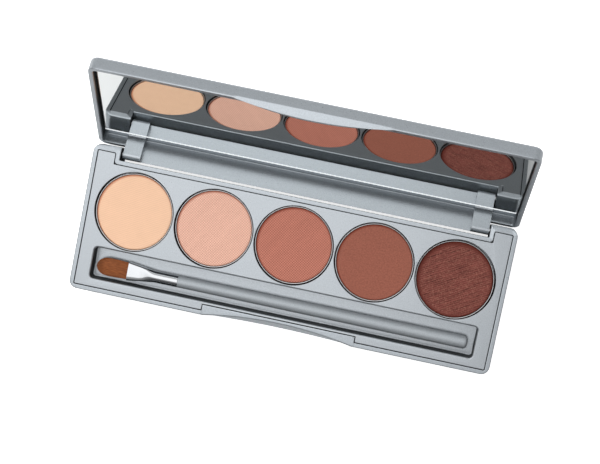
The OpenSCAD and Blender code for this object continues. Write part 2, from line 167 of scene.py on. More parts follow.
def finish_piece(name, bm, materials, body, node, sharp=40, smooth_by_area=True):
    """Cleans a piece's mesh, shades it, gives it its materials, ties it to its body and hides its
    node's solid.
    """
    bmesh.ops.remove_doubles(bm, verts=bm.verts, dist=2e-6)
    bmesh.ops.dissolve_degenerate(bm, edges=bm.edges, dist=1e-6)
    bmesh.ops.recalc_face_normals(bm, faces=bm.faces)
    mesh = bpy.data.meshes.new(name)
    bm.to_mesh(mesh)
    bm.free()
    for polygon in mesh.polygons:
        polygon.use_smooth = True
    mesh.set_sharp_from_angle(angle=math.radians(sharp))
    for material in materials:
        mesh.materials.append(material)
    piece = bpy.data.objects.new(name, mesh)
    bpy.context.scene.collection.objects.link(piece)
    if smooth_by_area:
        weigh = piece.modifiers.new("even_faces", "WEIGHTED_NORMAL")
        weigh.keep_sharp = True
        weigh.weight = 100
    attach(piece, body)
    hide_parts(node)


def new_material(name):
    material = bpy.data.materials.new(name)
    material.use_nodes = True
    tree = material.node_tree
    return material, tree, tree.nodes["Principled BSDF"]


def add(tree, kind, settings=None, **inputs):
    """Adds a node, with its settings, its plain inputs and the sockets that feed it.

    An input is named with _ for each space, or by its number, as in i0.
    """
    made = tree.nodes.new(kind)
    for key, value in (settings or {}).items():
        setattr(made, key, value)
    for key, value in inputs.items():
        label = key.replace("_", " ")
        socket = made.inputs[label] if label in made.inputs else made.inputs[int(key[1:])]
        if isinstance(value, bpy.types.NodeSocket):
            tree.links.new(value, socket)
        else:
            socket.default_value = value
    return made


def vary_roughness(tree, shader, texture, low, high):
    """Lets a finish wander between two roughnesses with a texture."""
    level = add(tree, "ShaderNodeMapRange", Value=texture.outputs["Fac"], To_Min=low, To_Max=high)
    tree.links.new(level.outputs["Result"], shader.inputs["Roughness"])


def silver_lacquer(name, color, roughness, flake=0.82):
    """Satin silver: fine metal flakes in a clear lacquer, over a faint orange peel."""
    material, tree, paint = new_material(name)
    place = add(tree, "ShaderNodeTexCoord").outputs["Object"]
    flakes = add(tree, "ShaderNodeTexNoise", Vector=place, Scale=3200.0, Detail=1.0, Roughness=0.6)
    peel = add(tree, "ShaderNodeTexNoise", Vector=place, Scale=420.0, Detail=1.0)
    tone = add(tree, "ShaderNodeMapRange", Value=flakes.outputs["Fac"], From_Min=0.3, From_Max=0.7,
               To_Min=0.90, To_Max=1.10)
    tinted = add(tree, "ShaderNodeVectorMath", {"operation": "SCALE"}, i0=color,
                 Scale=tone.outputs["Result"])
    tree.links.new(tinted.outputs["Vector"], paint.inputs["Base Color"])
    vary_roughness(tree, paint, flakes, roughness - 0.05, roughness + 0.05)
    fine = add(tree, "ShaderNodeBump", Height=flakes.outputs["Fac"], Strength=0.3, Distance=0.00004)
    wavy = add(tree, "ShaderNodeBump", Height=peel.outputs["Fac"], Strength=0.15, Distance=0.00005,
               Normal=fine.outputs["Normal"])
    tree.links.new(wavy.outputs["Normal"], paint.inputs["Normal"])
    paint.inputs["Metallic"].default_value = flake
    paint.inputs["Coat Weight"].default_value = 0.15
    paint.inputs["Coat Roughness"].default_value = 0.25
    return material


def make_crevice_shade():
    """Near-black painted shade for seams, the walls of narrow wells and the slot, where shade
    falls.
    """
    material, tree, plastic = new_material("painted_crevice_shade")
    place = add(tree, "ShaderNodeTexCoord").outputs["Object"]
    spark = add(tree, "ShaderNodeTexNoise", Vector=place, Scale=3000.0, Detail=2.0)
    tone = add(tree, "ShaderNodeValToRGB", Fac=spark.outputs["Fac"])
    tone.color_ramp.elements[0].color = (0.010, 0.012, 0.013, 1)
    tone.color_ramp.elements[1].color = (0.030, 0.034, 0.036, 1)
    tree.links.new(tone.outputs["Color"], plastic.inputs["Base Color"])
    plastic.inputs["Roughness"].default_value = 0.6
    plastic.inputs["Specular IOR Level"].default_value = 0.3
    return material


def base_lean(z):
    """How far the outer walls stand in at height z.

    From the top: the rim's round, the upright band, the leaning wall and the foot's round.
    """
    if z > BASE_H - RIM_ROUND:
        return quarter(RIM_ROUND, BASE_H - z)
    lean = WALL_LEAN * min(1.0, max(0.0, (UPRIGHT_FROM - z) / (UPRIGHT_FROM - FOOT_ROUND)))
    return lean + quarter(FOOT_ROUND, z)


def base_outline(z):
    """The base's outside at height z, from the thumb scoop round past both ears."""
    lean = base_lean(z)
    eased = quarter(NOTCH_ROUND, BASE_H - z)
    front = -HALF_D + lean
    rise = min(1.0, max(0.0, (z - SCOOP_FLOOR_Z) / (SCOOP_WALL_Z - SCOOP_FLOOR_Z)))
    scoop_r = SCOOP_R - SCOOP_DEPTH * (1 - rise) + quarter(SCOOP_ROUND, BASE_H - z)
    half = math.sqrt(max(0.0, scoop_r ** 2 - (front - SCOOP_Y) ** 2))
    scoop = [(x, max(front, SCOOP_Y + math.sqrt(scoop_r ** 2 - x ** 2)), 0, 0)
             for x, _, _, _ in straight(half, front, SCOOP_STEPS)]
    notch = NOTCH_Y - NOTCH_LEAN * (1 - z / BASE_H) - eased
    back, side, reach = HALF_D - lean, HALF_W - lean, CORNER_R - lean
    return outline(both_sides(scoop, [
        (FRONT_FROM_X, front, 0.2, 3),
        (side, front, reach, CORNER_STEPS), (side, back, reach, CORNER_STEPS),
        (NOTCH_X + eased, back, NOTCH_R, 5), (NOTCH_X + eased, notch, NOTCH_R, 5)]))


def turned_back(point):
    """Lowers a point of the rim onto the round that the lid's edge turns past."""
    reach = point.y - AXIS_Y
    if reach > 0:
        point.z = min(point.z, AXIS_Z + math.sqrt(BACK_ROUND ** 2 - reach ** 2))
    return point


# The pocket and the hollow have as many points as the outside, so that one skin joins them.
pocket = outline(both_sides(straight(POCKET_STEP_X, POCKET_STEP_Y, SCOOP_STEPS), [
    (POCKET_STEP_X, POCKET_FRONT, 0.25, 3),
    (POCKET_X, POCKET_FRONT, POCKET_R, CORNER_STEPS),
    (POCKET_X, POCKET_BACK, POCKET_R, CORNER_STEPS),
    (POCKET_EAR_X, POCKET_BACK, POCKET_R, 5),
    (POCKET_EAR_X, POCKET_EAR_Y, POCKET_EAR_R, 5)]))
hollow = outline(both_sides(straight(HOLLOW_STEP_X, HOLLOW_STEP_Y, SCOOP_STEPS), [
    (HOLLOW_STEP_X + 3.0, HOLLOW_FRONT, 0.25, 3),
    (HOLLOW_X, HOLLOW_FRONT, HOLLOW_R, CORNER_STEPS),
    (HOLLOW_X, HOLLOW_BACK, HOLLOW_R, CORNER_STEPS),
    (65.0, HOLLOW_BACK, 0.5, 5), (62.0, HOLLOW_BACK, 0.5, 5)]))

wall_heights = [FOOT_ROUND * (1 - math.cos(a)) for a in turn_steps(5)]
wall_heights += [SCOOP_START_Z + (SCOOP_WALL_Z - SCOOP_START_Z) * (k / 7) ** 2 for k in range(8)]
wall_heights += [UPRIGHT_FROM]
wall_heights += [BASE_H - SCOOP_ROUND + SCOOP_ROUND * math.sin(a) for a in turn_steps(9)]
base_rings = [[turned_back(p) for p in ring(base_outline(z), z)] for z in wall_heights]
rim_ring = base_rings[-1]
pocket_edge = ring(pocket, BASE_H, -SEAM_ROUND)
for share in (0.25, 0.5, 0.75):
    base_rings.append([turned_back(a.lerp(b, share)) for a, b in zip(rim_ring, pocket_edge)])
base_rings.append([turned_back(p) for p in pocket_edge])
base_rings.append(ring(pocket, BASE_H - 0.3 * SEAM_ROUND, -0.3 * SEAM_ROUND))
inside_from = len(base_rings)
base_rings += [ring(pocket, BASE_H - SEAM_ROUND), ring(pocket, SEAT_Z),
               ring(hollow, SEAT_Z), ring(hollow, FLOOR_Z)]
base_mesh = bmesh.new()
# The pocket's wall below the seam's round, the ledge and the hollow's wall get the painted shade.
skin(base_mesh, base_rings, start=True, end=True, second_strips=range(inside_from, len(base_rings)))
base_mesh.normal_update()
# Below that height, the notch's sides beside the tongue get the painted shade too.
for face in base_mesh.faces:
    middle = face.calc_center_median() / MM
    beside_tongue = abs(middle.x) < NOTCH_X + 0.2 and middle.y > NOTCH_SIDE_Y
    if looks_sideways(face) and beside_tongue and middle.z < NOTCH_SHADE_Z:
        face.material_index = 1
case_paint = silver_lacquer("case_lacquer", (0.325, 0.352, 0.377), 0.30)
crevice_shade = make_crevice_shade()
finish_piece("base_tray", base_mesh, [case_paint, crevice_shade], "base", "base_shell")


# ---- Insert plate --------------------------------------------------------------------------
# Second moulding in the same lacquer, dropped onto the base's ledge with a fine seam all round
# it. Five round wells and the long brush slot are moulded into it as cups.
PLATE_Z = 10.3
PLATE_R = 0.3
SEAM = 0.2
EDGE_ROUND = 0.15
WELL_COUNT = 5
WELL_PITCH = 27.0
WELL_R = 13.2
WELL_CHAMFER = 0.07
WELL_SHADE_Z = 10.0  # the wells' walls are painted in shade below this
WELL_FOOT = 0.3
WELL_Z = 5.85
ROW_Y = 4.45
ROUND_STEPS = 128
CUP_WALL = 0.25
CUP_UNDER_Z = 4.95  # the underside of the wells' cups
SLOT = (-64.65, -20.0, 64.65, -9.5)  # left, front, right, back
SLOT_Z = 5.1
SLOT_UNDER_Z = 4.2
SLOT_R = 1.2
SLOT_FOOT = 0.5
SLOT_ROUND = 0.55


def circle(x, y, radius, z):
    turns = [2 * math.pi * i / ROUND_STEPS for i in range(ROUND_STEPS)]
    return [Vector((x + radius * math.cos(t), y + radius * math.sin(t), z)) for t in turns]


def turned(x, y, profile):
    """Rings of a turned shape that stands at (x, y), from its radii and heights."""
    return [circle(x, y, r, z) for r, z in profile]


def box_outline(x0, y0, x1, y1, reach, steps):
    """Outline of a rectangle with rounded corners."""
    return outline([(x1, y0, reach, steps), (x1, y1, reach, steps),
                    (x0, y1, reach, steps), (x0, y0, reach, steps)])


def slot_ring(grow, z):
    """The brush slot's outline at height z, grown by grow."""
    x0, y0, x1, y1 = SLOT
    reach = max(SLOT_R + grow, 0.05)
    return ring(box_outline(x0 - grow, y0 - grow, x1 + grow, y1 + grow, reach, 8), z)


def holed_face(bm, loops):
    """Flat face whose first loop is its edge and whose other loops are holes."""
    corners = [bm.verts.new(p * MM) for loop in loops for p in loop]
    for a, b, c in tessellate_polygon(loops):
        bm.faces.new((corners[a], corners[b], corners[c]))


well_x = [(i - (WELL_COUNT - 1) / 2) * WELL_PITCH for i in range(WELL_COUNT)]
plate_edge = outline(both_sides(straight(POCKET_STEP_X + SEAM, POCKET_STEP_Y + SEAM, 12), [
    (POCKET_STEP_X + SEAM, POCKET_FRONT + SEAM, 0.25, 4),
    (POCKET_X - SEAM, POCKET_FRONT + SEAM, PLATE_R, 6),
    (POCKET_X - SEAM, POCKET_BACK - SEAM, PLATE_R, 6),
    (POCKET_EAR_X + SEAM, POCKET_BACK - SEAM, PLATE_R, 6),
    (POCKET_EAR_X + SEAM, POCKET_EAR_Y - SEAM, 0.2, 5)]))
plate_mesh = bmesh.new()
plate_rim = [ring(plate_edge, PLATE_Z - EDGE_ROUND * (1 - math.sin(a)),
                  EDGE_ROUND * (1 - math.cos(a))) for a in turn_steps(4)]
# The plate's outer side, down in the seam, gets the painted shade.
skin(plate_mesh, [ring(plate_edge, SEAT_Z)] + plate_rim, second_strips=range(1))

well_lip = [(WELL_R + WELL_CHAMFER + 0.06, PLATE_Z), (WELL_R + WELL_CHAMFER, PLATE_Z - 0.02),
            (WELL_R + 0.02, PLATE_Z - WELL_CHAMFER), (WELL_R, PLATE_Z - WELL_CHAMFER - 0.06)]
well_inside = well_lip + [
    (WELL_R, WELL_SHADE_Z), (WELL_R, WELL_Z + WELL_FOOT),
    (WELL_R - 0.3 * WELL_FOOT, WELL_Z + 0.3 * WELL_FOOT), (WELL_R - WELL_FOOT, WELL_Z)]
cup_outside = [(WELL_R + CUP_WALL, SEAT_Z), (WELL_R + CUP_WALL, CUP_UNDER_Z + CUP_WALL),
               (WELL_R, CUP_UNDER_Z)]
# Each well's wall gets the painted shade from a little below its lip down to its foot.
for x in well_x:
    skin(plate_mesh, turned(x, ROW_Y, well_inside), end=True,
         second_strips=range(len(well_lip), len(well_inside)))
    skin(plate_mesh, turned(x, ROW_Y, cup_outside), end=True)

# The slot's walls get the painted shade from its rounded lip down to its foot, all but the back
# wall, which keeps the lacquer.
slot_inside = [(SLOT_ROUND * (1 - math.sin(a)), PLATE_Z - SLOT_ROUND * (1 - math.cos(a)))
               for a in turn_steps(6)]
slot_inside += [(-SLOT_FOOT * (1 - math.cos(a)), SLOT_Z + SLOT_FOOT * (1 - math.sin(a)))
                for a in turn_steps(6)]
slot_from = len(plate_mesh.faces)
skin(plate_mesh, [slot_ring(grow, z) for grow, z in slot_inside], end=True, second_strips=range(5, 9))
plate_mesh.normal_update()
for face in list(plate_mesh.faces)[slot_from:]:
    if face.normal.y < -0.3:
        face.material_index = 0
skin(plate_mesh, [slot_ring(CUP_WALL, SEAT_Z), slot_ring(CUP_WALL, SLOT_UNDER_Z + 0.2),
                  slot_ring(0, SLOT_UNDER_Z)], end=True)
holed_face(plate_mesh, [ring(plate_edge, PLATE_Z, EDGE_ROUND)]
           + [circle(x, ROW_Y, well_lip[0][0], PLATE_Z) for x in well_x]
           + [slot_ring(SLOT_ROUND, PLATE_Z)])
holed_face(plate_mesh, [ring(plate_edge, SEAT_Z)]
           + [circle(x, ROW_Y, WELL_R + CUP_WALL, SEAT_Z) for x in well_x]
           + [slot_ring(CUP_WALL, SEAT_Z)])
plate_paint = silver_lacquer("plate_lacquer", (0.334, 0.358, 0.381), 0.30)
finish_piece("insert_tray", plate_mesh, [plate_paint, crevice_shade], "base", "insert_plate")


# ---- Pans ----------------------------------------------------------------------------------
# Standard round refill pans: shallow cups drawn from thin aluminium and polished, with the rim
# turned over. One is glued down in each well, and none sits quite in the middle.
PAN_R = 12.88
PAN_Z = 6.0
PAN_H = 3.8
PAN_WALL = 0.3
PAN_FOOT = 0.5
PAN_BEAD_R = 0.15  # the turned-over rim
SEATED_AT = [  # each pan's shift in its well, to the right and back, and how much lower its rim is
    (0.13, -0.13, 0.05), (0.12, 0.0, 0.0), (0.0, 0.08, 0.0), (0.05, -0.05, 0.0),
    (-0.14, -0.22, 0.45)]

pan_metal, pan_tree, pan_shader = new_material("pan_aluminium")
pan_place = add(pan_tree, "ShaderNodeTexCoord").outputs["Object"]
drawn = add(pan_tree, "ShaderNodeTexNoise", Vector=pan_place, Scale=2500.0, Detail=2.0)
vary_roughness(pan_tree, pan_shader, drawn, 0.22, 0.38)
pan_shader.inputs["Base Color"].default_value = (0.60, 0.60, 0.61, 1)
pan_shader.inputs["Metallic"].default_value = 1.0

pan_at = [(x + dx, ROW_Y + dy, drop) for x, (dx, dy, drop) in zip(well_x, SEATED_AT)]
bead_turns = [math.pi * k / 8 for k in range(1, 9)]
for n, (x, y, drop) in enumerate(pan_at, 1):
    bead_z = PAN_Z + PAN_H - drop - PAN_BEAD_R
    profile = [(PAN_R - PAN_FOOT, PAN_Z), (PAN_R - 0.3 * PAN_FOOT, PAN_Z + 0.3 * PAN_FOOT),
               (PAN_R, PAN_Z + PAN_FOOT), (PAN_R, bead_z)]
    profile += [(PAN_R - PAN_BEAD_R + PAN_BEAD_R * math.cos(a), bead_z + PAN_BEAD_R * math.sin(a))
                for a in bead_turns]
    profile += [(PAN_R - PAN_WALL, PAN_Z + 0.6), (PAN_R - PAN_WALL - 0.3, PAN_Z + PAN_WALL)]
    pan_mesh = bmesh.new()
    skin(pan_mesh, turned(x, y, profile), start=True, end=True)
    finish_piece(f"pan_cup_{n}", pan_mesh, [pan_metal], "base", f"pan_{n}",
                 smooth_by_area=False)


# ---- Pressed powders -----------------------------------------------------------------------
# Powder pressed into each pan under a cloth, which leaves its weave on some of the cakes. The
# edge is bevelled where the press tool met it, and the last cake is a shimmer, brushed on top.
CAKE_R = 12.5
CAKE_DOWN = 0.3
CAKE_BEVEL = 0.3
FACE_RINGS = 26
FACE_WAVE = 0.05
CLOTH_DEG = -57  # which way the cloth lay in the press
BRUSHED_DEG = -30  # which way the faces were brushed
# Where the painted shade at the cake's edge is full, and how far its centre sits off the cake's.
EDGE_SHADE_R = CAKE_R + 0.15
SHADE_OFF_X = 0.32  # the painted edge shade is centred this far off the cake's middle
SHADE_OFF_Y = -0.3
MICA_COLOR = (0.34, 0.15, 0.105, 1)
# Each cake's name, slot, width of the painted edge shade and colour, then how strong its weave,
# lines, grain, streaks, flecks and gloss are.
CAKES = [
    ("cream", "powder_cream", 0.75, (0.685, 0.434, 0.286), 0.01, 0.10, 0.10, 0.05, 0.0, 0.4),
    ("peach", "powder_peach", 0.75, (0.530, 0.300, 0.226), 0.30, 0.0, 0.12, 0.05, 0.0, 0.4),
    ("rose", "powder_rose", 0.9, (0.312, 0.114, 0.081), 0.46, 0.0, 0.16, 0.05, 0.0, 0.15),
    ("taupe", "powder_taupe", 0.75, (0.250, 0.084, 0.056), 0.02, 0.0, 0.85, 0.10, 0.0, 0.15),
    ("plum", "powder_plum", 1.9, (0.142, 0.042, 0.033), 0.0, 0.5, 0.9, 1.35, 0.38, 0.1),
]


def cake_material(name, x, y, shade_w, color, weave, lines, grain, streaks, flecks, gloss):
    """Pressed powder: matt, with the cloth's weave, fine lines, grain, tool streaks and mica.

    The cake's edge is painted darker, a painted shade of the pan's rim, deepest on one side.
    """
    material, tree, powder = new_material(name)
    place = add(tree, "ShaderNodeTexCoord").outputs["Object"]
    across = add(tree, "ShaderNodeMapping", Vector=place,
                 Rotation=(0, 0, math.radians(CLOTH_DEG))).outputs["Vector"]
    along = add(tree, "ShaderNodeMapping", Vector=place,
                Rotation=(0, 0, math.radians(BRUSHED_DEG))).outputs["Vector"]
    drag = add(tree, "ShaderNodeMapping", Vector=along, Scale=(0.08, 1.0, 1.0)).outputs["Vector"]
    fold = add(tree, "ShaderNodeMapping", Vector=across, Scale=(0.1, 1.0, 1.0)).outputs["Vector"]
    warp = add(tree, "ShaderNodeTexWave", {"bands_direction": "X"}, Vector=across,
               Scale=500.0, Distortion=0.5, Detail=1.0)
    weft = add(tree, "ShaderNodeTexWave", {"bands_direction": "Y"}, Vector=across,
               Scale=500.0, Distortion=0.5, Detail=1.0)
    cloth = add(tree, "ShaderNodeMath", {"operation": "ADD"}, i0=warp.outputs["Fac"],
                i1=weft.outputs["Fac"])
    folds = add(tree, "ShaderNodeTexNoise", Vector=fold, Scale=600.0, Detail=1.0)
    ribs = add(tree, "ShaderNodeTexWave", {"bands_direction": "Y"}, Vector=along,
               Scale=480.0, Distortion=1.5, Detail=1.0)
    specks = add(tree, "ShaderNodeTexNoise", Vector=place, Scale=1900.0, Detail=2.0, Roughness=0.7)
    clouds = add(tree, "ShaderNodeTexNoise", Vector=place, Scale=260.0, Detail=2.0)
    brushed = add(tree, "ShaderNodeTexNoise", Vector=drag, Scale=2300.0, Detail=2.0)
    marks = [(cloth, "Value", weave), (folds, "Fac", 0.4 * weave), (ribs, "Fac", lines),
             (specks, "Fac", grain), (clouds, "Fac", 0.08), (brushed, "Fac", streaks)]
    tone = add(tree, "ShaderNodeValue").outputs[0]
    tone.default_value = 1.0
    for mark, socket, amount in marks:
        shift = add(tree, "ShaderNodeMath", {"operation": "MULTIPLY_ADD"}, i0=mark.outputs[socket],
                    i1=amount, i2=-0.5 * amount)
        tone = add(tree, "ShaderNodeMath", {"operation": "ADD"}, i0=tone,
                   i1=shift.outputs[0]).outputs[0]
    tinted = add(tree, "ShaderNodeVectorMath", {"operation": "SCALE"}, i0=color, Scale=tone)
    bump = add(tree, "ShaderNodeBump", Height=tone, Strength=0.5, Distance=0.0001)
    tree.links.new(bump.outputs["Normal"], powder.inputs["Normal"])
    powder.inputs["Roughness"].default_value = 0.55
    powder.inputs["Specular IOR Level"].default_value = gloss

    # Painted shade: a darker ring round the cake's edge, centred off the middle so one side is
    # deepest.
    from_middle = add(tree, "ShaderNodeVectorMath", {"operation": "SUBTRACT"}, i0=place,
                      i1=((x + SHADE_OFF_X) * MM, (y + SHADE_OFF_Y) * MM, 0.0))
    level = add(tree, "ShaderNodeVectorMath", {"operation": "MULTIPLY"},
                i0=from_middle.outputs["Vector"], i1=(1.0, 1.0, 0.0))
    reach = add(tree, "ShaderNodeVectorMath", {"operation": "LENGTH"}, i0=level.outputs["Vector"])
    rim_shade = add(tree, "ShaderNodeMapRange", {"interpolation_type": "SMOOTHSTEP"},
                  Value=reach.outputs["Value"], From_Min=(EDGE_SHADE_R - shade_w) * MM,
                  From_Max=EDGE_SHADE_R * MM)
    mica = add(tree, "ShaderNodeTexNoise", Vector=place, Scale=2500.0, Detail=1.0)
    lit = add(tree, "ShaderNodeMapRange", Value=mica.outputs["Fac"], From_Min=0.50, From_Max=0.72,
              To_Max=flecks)
    shine = add(tree, "ShaderNodeMix", {"data_type": "RGBA"}, Factor=lit.outputs["Result"])
    tree.links.new(tinted.outputs["Vector"], shine.inputs["A"])
    shine.inputs["B"].default_value = MICA_COLOR
    edge = add(tree, "ShaderNodeMix", {"data_type": "RGBA"}, Factor=rim_shade.outputs["Result"])
    tree.links.new(shine.outputs["Result"], edge.inputs["A"])
    edge.inputs["B"].default_value = (0.62 * color[0], 0.40 * color[1], 0.34 * color[2], 1)
    tree.links.new(edge.outputs["Result"], powder.inputs["Base Color"])
    return material


for n, ((x, y, drop), (shade, slot, *look)) in enumerate(zip(pan_at, CAKES), 1):
    cake_top = PAN_Z + PAN_H - drop - CAKE_DOWN
    profile = [(CAKE_R - 0.2, PAN_Z + PAN_WALL + 0.1), (CAKE_R, PAN_Z + 0.7),
               (CAKE_R, cake_top - CAKE_BEVEL), (CAKE_R - 0.06, cake_top - 0.2),
               (CAKE_R - 0.2, cake_top - 0.06), (CAKE_R - CAKE_BEVEL, cake_top)]
    face_from = len(profile)
    profile += [((CAKE_R - CAKE_BEVEL) * (1 - k / FACE_RINGS), cake_top)
                for k in range(1, FACE_RINGS)]
    rings = turned(x, y, profile)
    for loop in rings[face_from:]:
        for p in loop:
            p.z -= FACE_WAVE * abs(noise.noise(Vector((p.x, p.y, 3.1 * n)) * 0.35))
    cake_mesh = bmesh.new()
    skin(cake_mesh, rings, start=True, end=True)
    cake = cake_material(f"powder_{shade}_cake", x, y, *look)
    finish_piece(f"cake_{shade}", cake_mesh, [cake], "base", f"powder_{n}",
                 smooth_by_area=False)


# ---- Glue and hinge pins -------------------------------------------------------------------
# A round spot of tacky glue holds each pan down in its well. Two short steel wires, pressed into
# the base, carry the lid's knuckles. None of them shows once the palette is together.
glue, glue_tree, glue_shader = new_material("tacky_glue")
glue_noise = add(glue_tree, "ShaderNodeTexNoise", Scale=900.0)
vary_roughness(glue_tree, glue_shader, glue_noise, 0.3, 0.6)
glue_shader.inputs["Base Color"].default_value = (0.8, 0.76, 0.64, 1)
glue_shader.inputs["Subsurface Weight"].default_value = 0.1

wire, wire_tree, wire_shader = new_material("drawn_steel")
wire_place = add(wire_tree, "ShaderNodeTexCoord").outputs["Object"]
wire_lines = add(wire_tree, "ShaderNodeMapping", Vector=wire_place, Scale=(0.05, 1.0, 1.0))
wire_noise = add(wire_tree, "ShaderNodeTexNoise", Vector=wire_lines.outputs["Vector"],
                 Scale=6000.0)
vary_roughness(wire_tree, wire_shader, wire_noise, 0.2, 0.4)
wire_shader.inputs["Base Color"].default_value = (0.55, 0.56, 0.57, 1)
wire_shader.inputs["Metallic"].default_value = 1.0


def dress(node, material):
    """Gives a carried-over solid its finish."""
    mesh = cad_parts[node].data
    mesh.materials.clear()
    mesh.materials.append(material)


dress("pan_glue", glue)
dress("hinge_pin_left", wire)
dress("hinge_pin_right", wire)


# ---- Lid shell -----------------------------------------------------------------------------
# Moulded shell in the same lacquer. The thumb tab hangs from its front edge, and its back edge
# runs on as a tongue between the base's ears, with a thick knuckle at each end for the hinge
# pins. It is drawn shut and then turned open about the hinge.
OPEN_DEG = 121.7
RIM_Z = 10.65
LID_TOP_Z = 15.4
CEILING_Z = 14.05
LID_WALL = 1.5
LID_ROUND = 1.3
LID_RIM_ROUND = 0.25
LID_SHADE_Z = 11.2  # the inner end walls are painted in shade above this
COVE_R = 0.35
TAB_STEPS = 64
TAB_DROP = 1.9
TAB_GAP = 0.35
TAB_MIN_T = 0.05
TAB_ROUND = 0.12
TAB_LEAN = math.tan(math.radians(25))
TAB_TOP_Z = 11.2
TAB_SEAT_Z = 11.65
TONGUE_X = 61.45
KNUCKLE_X = 55.55
BARREL_R = 1.6
NOSE_R = 2.3  # the tongue's rounded back edge
NOSE_Z = 7.746
KNUCKLE_Y = AXIS_Y - BARREL_R
KNUCKLE_FILLET = 1.0
INNER_BACK = HALF_D - LID_WALL
SIDE_END = (0.0, TAB_TOP_Z + 0.3)

hinge_turn = (Matrix.Translation((0, AXIS_Y * MM, AXIS_Z * MM))
              @ Matrix.Rotation(math.radians(-OPEN_DEG), 4, "X")
              @ Matrix.Translation((0, -AXIS_Y * MM, -AXIS_Z * MM)))


def arc(y, z, radius, start, stop, steps):
    """Points (y, z) on an arc from start to stop degrees, measured from +Y towards +Z."""
    turns = [math.radians(start + (stop - start) * k / steps) for k in range(steps + 1)]
    return [(y + radius * math.cos(t), z + radius * math.sin(t)) for t in turns]


def lid_stations():
    """Points round the lid's outline, each with its way in and what hangs from its edge there."""
    tab = straight(SCOOP_HALF_W, -HALF_D, TAB_STEPS)
    right = [(HALF_W, -HALF_D, CORNER_R, CORNER_STEPS), (HALF_W, HALF_D, CORNER_R, CORNER_STEPS)]
    stations = [(place, way_in, "tab" if abs(place.x) <= SCOOP_HALF_W + 1e-6 else "wall")
                for place, way_in in outline(both_sides(tab, right))]
    back = [(TONGUE_X, "wall"), (TONGUE_X, "knuckle"), (KNUCKLE_X, "knuckle"), (KNUCKLE_X, "sheet")]
    back += [(-x, kind) for x, kind in reversed(back)]
    hinge_side = [(Vector((x, HALF_D)), Vector((0, -1)), kind) for x, kind in back]
    back_from = len(tab) + len(right) * (CORNER_STEPS + 1)
    return stations[:back_from] + hinge_side + stations[back_from:]


# The profiles below run from outside to inside, as depths behind the lid's outline and heights,
# and all have the same number of points.
def tab_profile(x):
    """Edge of the lid at the thumb tab, which is deepest in the middle."""
    drop_r = (SCOOP_HALF_W ** 2 + TAB_DROP ** 2) / (2 * TAB_DROP)
    drop = TAB_DROP - (drop_r - math.sqrt(max(0.0, drop_r ** 2 - x ** 2)))
    foot = RIM_Z - drop * (1 + (RIM_Z - BASE_H) / TAB_DROP)
    face = (TAB_TOP_Z - foot) * TAB_LEAN
    back = SCOOP_Y + math.sqrt((SCOOP_R - TAB_GAP) ** 2 - x ** 2) + HALF_D
    back = max(back, face + TAB_MIN_T)
    seat = TAB_SEAT_Z if back > LID_WALL else RIM_Z
    seat = max(seat, foot)
    soft = min(TAB_ROUND, 0.45 * (back - face))
    points = [SIDE_END, (0.02, TAB_TOP_Z + 0.08), (0.09, TAB_TOP_Z - 0.12)]
    points += [(face * s, TAB_TOP_Z - (TAB_TOP_Z - foot) * s) for s in (0.35, 0.6, 0.85)]
    points += [(face - 0.3 * soft, foot + soft), (face + 0.4 * soft, foot + 0.2 * soft),
               (face + soft, foot)]
    points += [(back - soft, foot), (back - 0.25 * soft, foot + 0.25 * soft),
               (back, min(foot + soft, seat))]
    points += [(back, seat), (LID_WALL, seat), (LID_WALL, TAB_SEAT_Z)]
    return points


def wall_profile():
    """Plain edge of the lid, rounded outside."""
    r = LID_RIM_ROUND
    points = [SIDE_END, (0.0, TAB_TOP_Z)]
    points += [(r * (1 - math.cos(a)), RIM_Z + r * (1 - math.sin(a))) for a in turn_steps(5)]
    points += [(0.6, RIM_Z), (0.9, RIM_Z), (LID_WALL - 0.15, RIM_Z),
               (LID_WALL - 0.05, RIM_Z + 0.03), (LID_WALL, RIM_Z + 0.15),
               (LID_WALL, LID_SHADE_Z), (LID_WALL, TAB_SEAT_Z)]
    return points


def sheet_profile():
    """Edge of the tongue between the knuckles, round like a nose."""
    tip = math.degrees(math.acos((INNER_BACK + 0.15 - AXIS_Y) / NOSE_R))
    nose = [(HALF_D - y, z) for y, z in arc(AXIS_Y, NOSE_Z, NOSE_R, 0, -tip, 9)]
    end_z = nose[-1][1]
    return [SIDE_END] + nose + [(LID_WALL - 0.04, end_z - 0.02), (LID_WALL, end_z + 0.1),
                                (LID_WALL, 8.0), (LID_WALL, TAB_SEAT_Z)]


def knuckle_profile():
    """Edge of the tongue at a knuckle, which wraps round the hinge pin."""
    nose = arc(AXIS_Y, NOSE_Z, NOSE_R, 0, -62.3, 5)
    barrel = arc(AXIS_Y, AXIS_Z, BARREL_R, -55, -180, 7)
    return [SIDE_END] + [(HALF_D - y, z) for y, z in nose + barrel]


